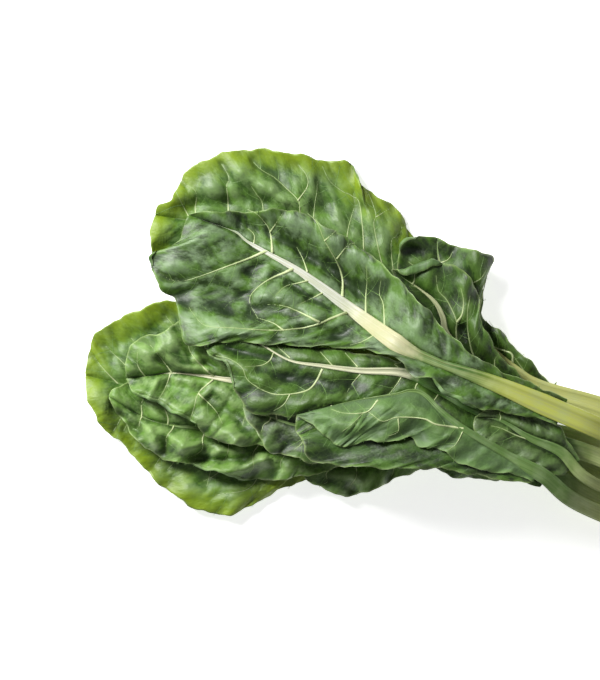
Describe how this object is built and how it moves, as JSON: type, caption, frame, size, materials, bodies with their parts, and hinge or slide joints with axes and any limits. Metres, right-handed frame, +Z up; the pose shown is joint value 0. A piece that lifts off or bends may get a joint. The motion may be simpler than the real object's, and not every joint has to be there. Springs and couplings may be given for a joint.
{
  "type": "chard bunch",
  "caption": "Loose bunch of green Swiss chard lying flat, with broad crinkled dark green leaves and pale ribbed stalks.",
  "frame": {"origin": "centre of the bounding box in plan, on the surface that the bunch lies on", "axes": "+Z up, +X along the bunch from the leaf tips to the cut stalk ends, +Y across it"},
  "size_m": [0.5165, 0.3253, 0.0827],
  "materials": {
    "blade_green": "waxy, softly crinkled leaf",
    "blade_yellow_edged": "waxy leaf with a yellow-green edge",
    "blade_dark": "waxy dark leaf",
    "stalk_pale": "smooth, finely grooved along its length",
    "stalk_olive": "smooth, finely grooved along its length"
  },
  "bodies": {
    "root": {"back_left_blade": "blade_yellow_edged", "back_left_stalk": "stalk_pale", "back_top_blade": "blade_yellow_edged", "back_top_stalk": "stalk_pale", "back_right_blade": "blade_green", "back_right_stalk": "stalk_pale", "low_centre_blade": "blade_green", "low_centre_stalk": "stalk_pale", "low_right_blade": "blade_green", "low_right_stalk": "stalk_pale", "lower_left_blade": "blade_green", "lower_left_stalk": "stalk_pale", "inner_left_blade": "blade_green", "inner_left_stalk": "stalk_pale", "fore_right_blade": "blade_green", "fore_right_stalk": "stalk_olive", "under_centre_blade": "blade_dark", "under_centre_stalk": "stalk_pale", "centre_blade": "blade_green", "centre_stalk": "stalk_pale", "side_right_blade": "blade_dark", "side_right_stalk": "stalk_pale", "folded_blade": "blade_green", "folded_stalk": "stalk_pale", "main_blade": "blade_green", "main_stalk": "stalk_olive"}
  },
  "joints": []
}
